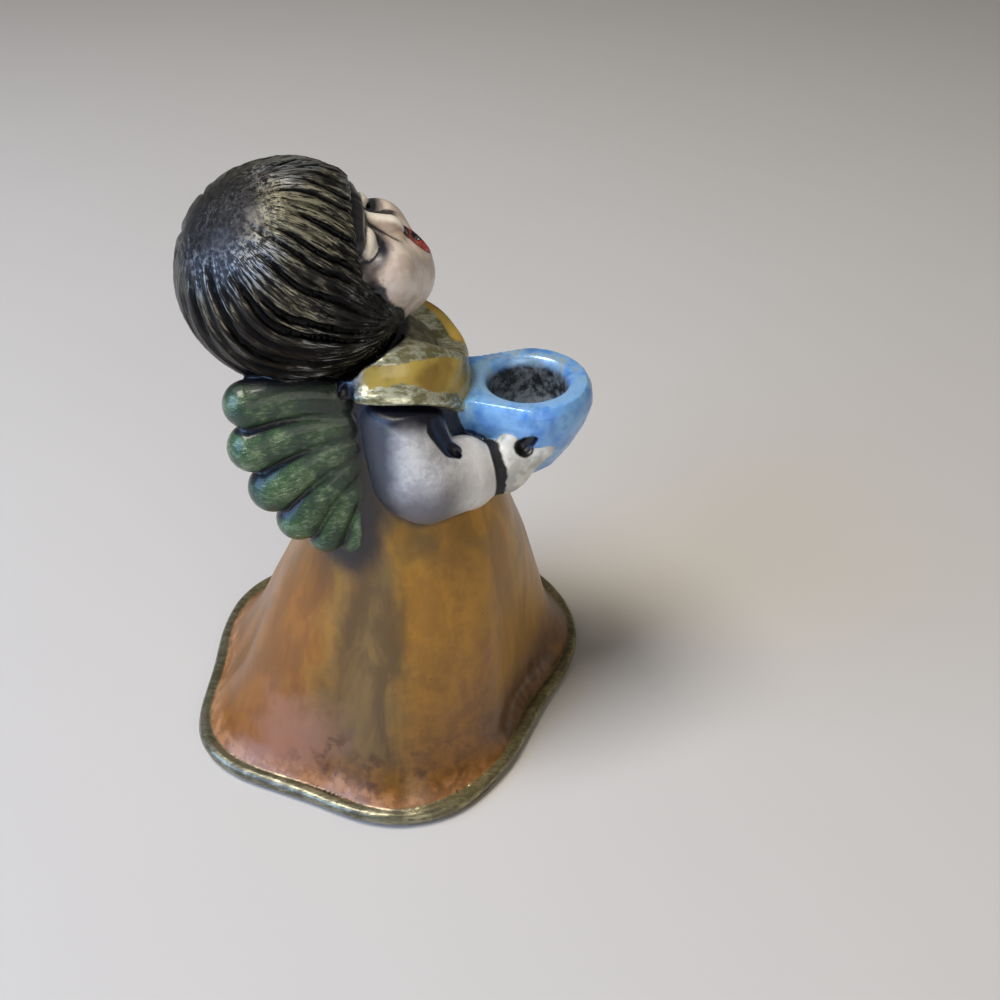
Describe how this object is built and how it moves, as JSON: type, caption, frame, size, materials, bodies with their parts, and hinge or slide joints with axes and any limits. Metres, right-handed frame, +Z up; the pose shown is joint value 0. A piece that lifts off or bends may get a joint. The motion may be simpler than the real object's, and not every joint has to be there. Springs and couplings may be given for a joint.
{
  "type": "angel candleholder",
  "caption": "Glazed ceramic figurine of a winged child in a flared robe, head tipped back to sing, holding a round cup bored for a slim candle.",
  "frame": {"origin": "centre of the footprint of the flat underside, on the surface it stands on", "axes": "+Z up; the figure faces -Y and its left hand is on the +X side"},
  "size_m": [0.0742, 0.0764, 0.1091],
  "materials": {
    "glazed_figure": "hand-painted and glazed: ochre robe, dark hair, green wings, pale blue cup"
  },
  "bodies": {
    "root": {"angel_candleholder": "glazed_figure"}
  },
  "joints": []
}
